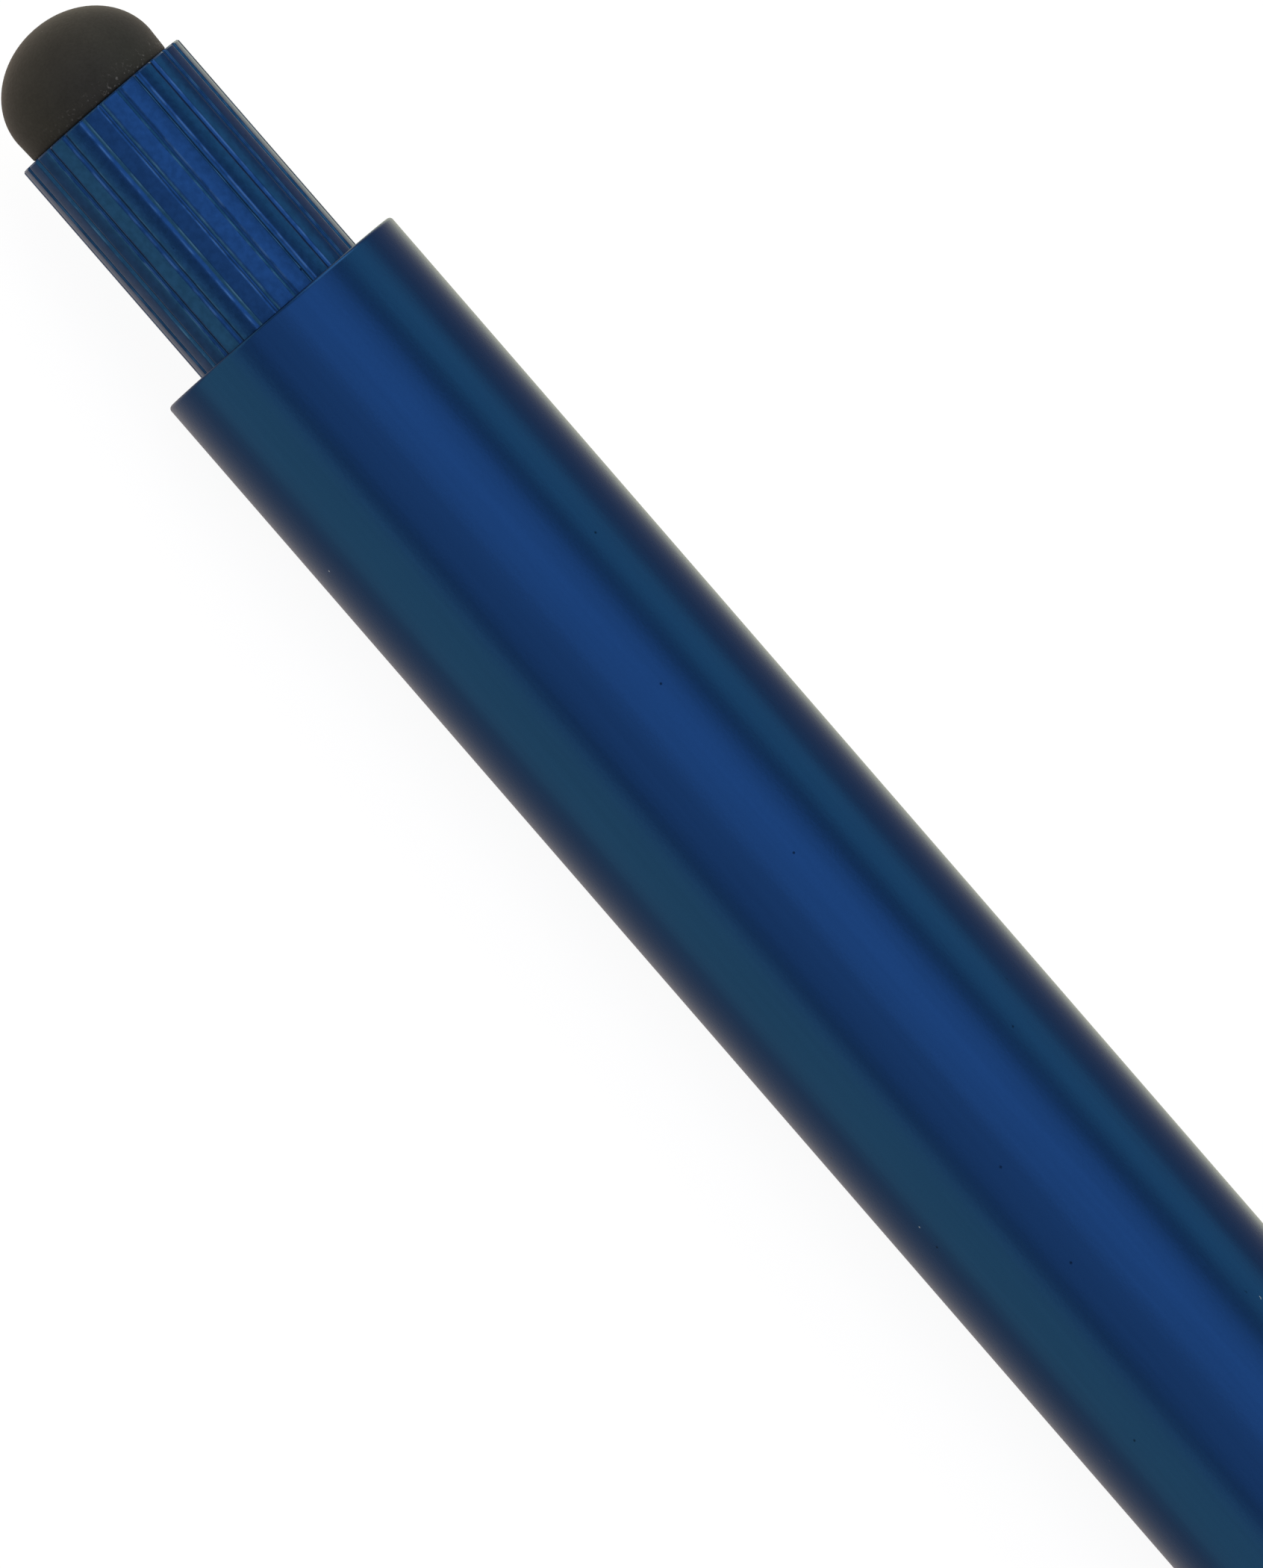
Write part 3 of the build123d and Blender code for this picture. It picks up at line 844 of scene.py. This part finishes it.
def set_up_camera():
    right = cos(PEN_SLANT) * along + sin(PEN_SLANT) * above
    up = -sin(PEN_SLANT) * along + cos(PEN_SLANT) * above
    stand_off = PICTURE_LENGTH * MM * LENS / SENSOR
    view = bpy.data.cameras.new("camera")
    view.lens = LENS
    view.sensor_width = SENSOR
    view.clip_start = SEEN_FROM
    view.clip_end = SEEN_TO
    camera = bpy.data.objects.new("camera", view)
    bpy.context.scene.collection.objects.link(camera)
    turn = Matrix((right, up, toward)).transposed().to_4x4()
    camera.matrix_world = Matrix.Translation(target + stand_off * toward) @ turn
    bpy.context.scene.camera = camera


set_up_camera()


# Soft studio light: long boxes beside the pen, each at an angle about its axis from the camera's
# side. Angles are in degrees, and a box's distance and length are in metres.


def soft_box(name, angle, spread, reach, colour, level, length=1.2, lean=0, fade=None):
    """A box that fills an angle at the pen, evenly or fading out by an angle from its middle.

    It may lean over the pen's rear end."""
    lamp = bpy.data.lights.new(name, "AREA")
    lamp.shape = "RECTANGLE"
    lamp.size = length
    lamp.size_y = 2 * reach * tan(radians(spread / 2))
    lamp.energy = level * pi * lamp.size * lamp.size_y
    if fade:
        lamp.spread = 2 * radians(fade)
        lamp.energy *= 1 - radians(fade) / tan(radians(fade))
    lamp.color = colour
    box = bpy.data.objects.new(name, lamp)
    bpy.context.scene.collection.objects.link(box)
    side = cos(radians(angle)) * toward + sin(radians(angle)) * above
    away = cos(radians(lean)) * side - sin(radians(lean)) * along
    across = side.cross(along)
    facing = Matrix((across.cross(away), across, away)).transposed().to_4x4()
    box.matrix_world = Matrix.Translation(target + reach * away) @ facing


soft_box("fill_box", angle=-11, spread=42, reach=0.5, colour=(0.7, 0.75, 1.0), level=0.4)
soft_box("key_box", angle=29, spread=50, reach=0.55, colour=(0.6, 0.715, 1.0), level=1.08, fade=44)
soft_box("back_box", angle=83.5, spread=27, reach=0.5, colour=(0.6, 1.0, 0.77), level=0.62)
soft_box("rear_box", angle=66, spread=45, reach=0.5, colour=(1.0, 0.93, 0.84), level=1.3,
         length=0.4, lean=50)


# Background: white to the camera. To the pen the room is dim, and the floor is bright.

ROOM = (0.315, 0.31, 0.38)
FAR_WHITE = (0.977, 0.976, 0.975)
FLOOR_WHITE = (1.0, 1.0, 1.0)
FLOOR_PAPER = (0.97, 0.92, 0.78)
FLOOR_SIZE = 40
FLOOR_GLOW = 1.09

# The metal sees the floor mostly through painted bands of light and shade: painted shade under the
# pen, painted light, bright and a little warm, beside it, and painted shade, dimmer, behind it.
# Each colour is at a distance from the pen's axis, below 0 on the camera's side.
PAINTED_SHADE_UNDER_PEN = (0.53, 0.475, 0.44)
PAINTED_LIGHT_BESIDE_PEN = (1.0, 0.98, 0.73)
PAINTED_SHADE_BEHIND_PEN = (0.53, 0.46, 0.42)
PAINTED_BANDS_REACH = 110
PAINTED_LIGHT_AND_SHADE_BANDS = (
    (-65, PAINTED_LIGHT_BESIDE_PEN),
    (-9.8, PAINTED_LIGHT_BESIDE_PEN),
    (-8.3, PAINTED_SHADE_UNDER_PEN),
    (8.0, PAINTED_SHADE_UNDER_PEN),
    (9.5, PAINTED_LIGHT_BESIDE_PEN),
    (26, PAINTED_LIGHT_BESIDE_PEN),
    (60, PAINTED_SHADE_BEHIND_PEN),
)


def shown_share(tree, rays, to_camera, in_pieces):
    """How much of a plain background shows to the camera, and in metal or through clear pieces."""
    total = None
    for kind, amount in (("Camera", to_camera), ("Glossy", in_pieces), ("Transmission", in_pieces)):
        part = tree.nodes.new("ShaderNodeMath")
        part.operation = "MULTIPLY_ADD"
        tree.links.new(rays.outputs[f"Is {kind} Ray"], part.inputs[0])
        part.inputs[1].default_value = amount
        part.inputs[2].default_value = 0
        if total:
            tree.links.new(total, part.inputs[2])
        total = part.outputs[0]
    return total


def light_room():
    world = bpy.data.worlds.new("studio")
    bpy.context.scene.world = world
    world.use_nodes = True
    tree = world.node_tree
    background = tree.nodes["Background"]
    rays = tree.nodes.new("ShaderNodeLightPath")
    share = shown_share(tree, rays, to_camera=1.0, in_pieces=0.08)
    tree.links.new(tint(tree, share, ROOM, FAR_WHITE), background.inputs["Color"])
    background.inputs["Strength"].default_value = 1.0


def lay_floor():
    clear_selection()
    bpy.ops.mesh.primitive_plane_add(size=FLOOR_SIZE)
    floor = bpy.context.object
    floor.name = "floor"
    material, tree, shader, place = new_finish("white_floor_with_painted_bands")
    shader.inputs["Base Color"].default_value = (*FLOOR_PAPER, 1)
    shader.inputs["Roughness"].default_value = 0.9
    shader.inputs["Specular IOR Level"].default_value = 0.0
    reach = PAINTED_BANDS_REACH * MM
    off_axis = between(tree, split_axes(tree, place)["Y"], start=AXIS.y - reach, end=AXIS.y + reach)
    # Painted bands of light and shade across the floor, by distance from the pen's axis, shown only in
    # the metal.
    painted_bands = tree.nodes.new("ShaderNodeValToRGB")
    tree.links.new(off_axis, painted_bands.inputs["Fac"])
    stops = painted_bands.color_ramp.elements
    stops[0].color = (*FLOOR_WHITE, 1)
    stops[1].color = (*PAINTED_SHADE_BEHIND_PEN, 1)
    for distance, colour in PAINTED_LIGHT_AND_SHADE_BANDS:
        stops.new(0.5 + distance / PAINTED_BANDS_REACH / 2).color = (*colour, 1)
    rays = tree.nodes.new("ShaderNodeLightPath")
    # To glossy rays the floor glows in the painted bands of light and shade; to the camera it glows
    # plain white.
    white_or_painted_bands = tint(tree, rays.outputs["Is Glossy Ray"], FLOOR_WHITE, painted_bands.outputs["Color"])
    floor_glow_with_painted_bands = tree.nodes.new("ShaderNodeEmission")
    floor_glow_with_painted_bands.inputs["Strength"].default_value = FLOOR_GLOW
    tree.links.new(white_or_painted_bands, floor_glow_with_painted_bands.inputs["Color"])
    blend = tree.nodes.new("ShaderNodeMixShader")
    share = shown_share(tree, rays, to_camera=0.86, in_pieces=0.85)
    tree.links.new(share, blend.inputs["Fac"])
    tree.links.new(shader.outputs[0], blend.inputs[1])
    tree.links.new(floor_glow_with_painted_bands.outputs[0], blend.inputs[2])
    tree.links.new(blend.outputs[0], tree.nodes["Material Output"].inputs["Surface"])
    dress(floor, material)


light_room()
lay_floor()

bpy.context.scene.view_settings.view_transform = "Standard"
